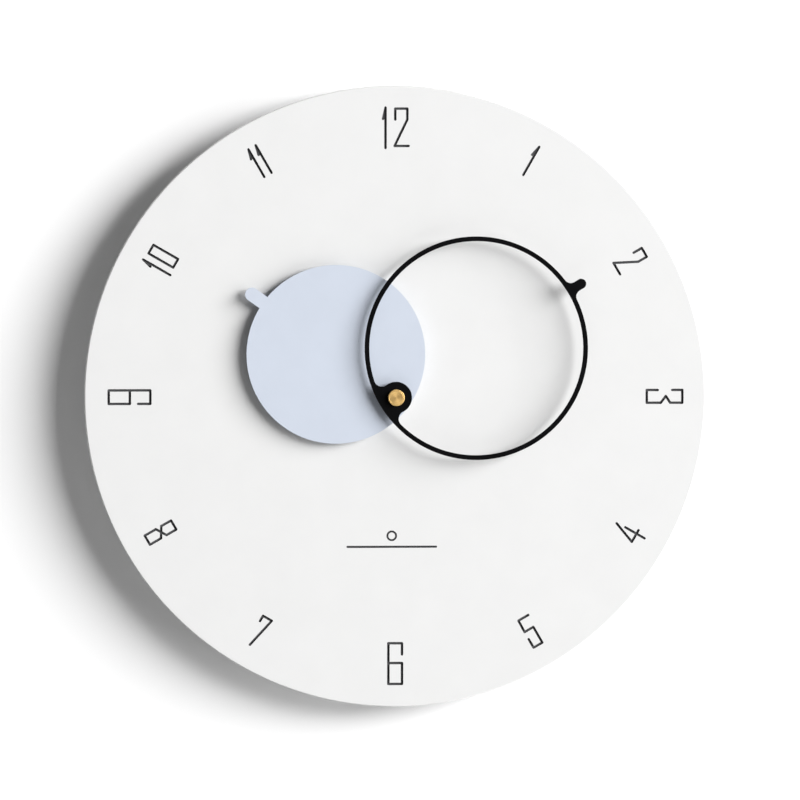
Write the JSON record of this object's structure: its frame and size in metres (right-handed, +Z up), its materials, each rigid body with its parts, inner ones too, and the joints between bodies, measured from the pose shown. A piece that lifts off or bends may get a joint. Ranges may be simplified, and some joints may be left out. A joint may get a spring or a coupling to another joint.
{
  "type": "wall clock",
  "caption": "Round wall clock with engraved numerals, a disc hour hand, a ring minute hand and a geared quartz movement behind the board.",
  "frame": {"origin": "centre of the wall hanger's keyhole, at the back face of the hanger tab", "axes": "+Y from the face into the wall, +Z up, +X to the right as the face is read; the wall plane is y = +0.001 m"},
  "size_m": [0.35, 0.0382, 0.35],
  "materials": {
    "board_white": "smooth matt white lacquer over fibreboard",
    "groove_fill": "dark matt fill",
    "mark_ink": "dark matt ink",
    "disc_blue": "pale blue matt lacquer",
    "brass_turned": "turned",
    "ring_black": "black matt",
    "brass_cap": "turned face with a bright edge",
    "steel_plated": "zinc plated",
    "gasket_rubber": "matt",
    "feet_white": "satin moulding",
    "felt_grey": "pressed felt",
    "case_black": "fine spark-eroded texture",
    "plate_cream": "satin moulding",
    "gear_ivory": "satin moulding",
    "gear_amber": "satin moulding",
    "magnet_grey": "sintered",
    "lamination_grey": "annealed nickel iron",
    "bobbin_white": "satin moulding",
    "winding_copper": "lacquered copper wire",
    "board_green": "solder mask",
    "chip_epoxy": "epoxy blob",
    "contact_plated": "nickel plated",
    "cell_sleeve": "printed sleeve with bare metal ends"
  },
  "bodies": {
    "clock": {"face_board": "board_white", "numeral_enamel": "groove_fill", "face_mark": "mark_ink", "shaft_nut": "brass_turned", "shaft_washer": "steel_plated", "threaded_bush": "brass_turned", "rubber_gasket": "gasket_rubber", "wall_hanger": "steel_plated", "spacer_feet": "feet_white", "felt_pads": "felt_grey", "movement_case": "case_black", "rear_cover": "case_black", "mid_plate": "plate_cream", "rear_plate": "plate_cream", "plate_screws": "steel_plated", "stator": "lamination_grey", "coil_core": "lamination_grey", "coil_bobbin": "bobbin_white", "coil_winding": "winding_copper", "circuit_board": "board_green", "driver_chip": "chip_epoxy", "crystal_can": "contact_plated", "positive_contact": "contact_plated", "negative_contact": "contact_plated", "battery_cell": "cell_sleeve"},
    "minute_group": {"minute_ring": "ring_black", "minute_bush": "brass_turned", "centre_cap": "brass_cap", "minute_arbor": "brass_turned", "clutch_spring": "steel_plated"},
    "hour_group": {"hour_disc": "disc_blue", "hour_bush": "brass_turned", "hour_wheel": "gear_ivory"},
    "motion_group": {"motion_wheel": "gear_ivory"},
    "setting_group": {"setting_knob": "gear_ivory"},
    "seconds_group": {"seconds_wheel": "gear_ivory"},
    "third_group": {"third_wheel": "gear_ivory"},
    "centre_group": {"centre_wheel": "gear_amber"},
    "intermediate_group": {"intermediate_wheel": "gear_ivory"},
    "rotor_group": {"rotor_spindle": "gear_ivory", "rotor_magnet": "magnet_grey"}
  },
  "joints": [
    {"name": "minute_turn", "type": "hinge", "parent": "clock", "child": "minute_group", "pos_m": [0, 0, -0.038], "axis": [0, 1, 0], "continuous": true},
    {"name": "hour_turn", "type": "hinge", "parent": "clock", "child": "hour_group", "pos_m": [0, 0, -0.038], "axis": [0, 1, 0], "continuous": true},
    {"name": "motion_turn", "type": "hinge", "parent": "clock", "child": "motion_group", "pos_m": [0, 0, -0.0296], "axis": [0, 1, 0], "continuous": true},
    {"name": "setting_turn", "type": "hinge", "parent": "clock", "child": "setting_group", "pos_m": [-0.00441, 0, -0.02196], "axis": [0, 1, 0], "continuous": true},
    {"name": "seconds_turn", "type": "hinge", "parent": "clock", "child": "seconds_group", "pos_m": [0, 0, -0.038], "axis": [0, 1, 0], "continuous": true},
    {"name": "third_turn", "type": "hinge", "parent": "clock", "child": "third_group", "pos_m": [-0.0108, 0, -0.038], "axis": [0, 1, 0], "continuous": true},
    {"name": "centre_turn", "type": "hinge", "parent": "clock", "child": "centre_group", "pos_m": [0, 0, -0.038], "axis": [0, 1, 0], "continuous": true},
    {"name": "intermediate_turn", "type": "hinge", "parent": "clock", "child": "intermediate_group", "pos_m": [0.0076, 0, -0.038], "axis": [0, 1, 0], "continuous": true},
    {"name": "rotor_turn", "type": "hinge", "parent": "clock", "child": "rotor_group", "pos_m": [0.01408, 0, -0.03426], "axis": [0, 1, 0], "continuous": true}
  ],
  "couplings": [
    {"joint": "motion_turn", "follows": "minute_turn", "ratio": -0.33333},
    {"joint": "hour_turn", "follows": "minute_turn", "ratio": 0.083333},
    {"joint": "setting_turn", "follows": "minute_turn", "ratio": 0.83333},
    {"joint": "third_turn", "follows": "seconds_turn", "ratio": -0.13333},
    {"joint": "centre_turn", "follows": "seconds_turn", "ratio": 0.016667},
    {"joint": "intermediate_turn", "follows": "seconds_turn", "ratio": -4},
    {"joint": "rotor_turn", "follows": "seconds_turn", "ratio": 30}
  ]
}
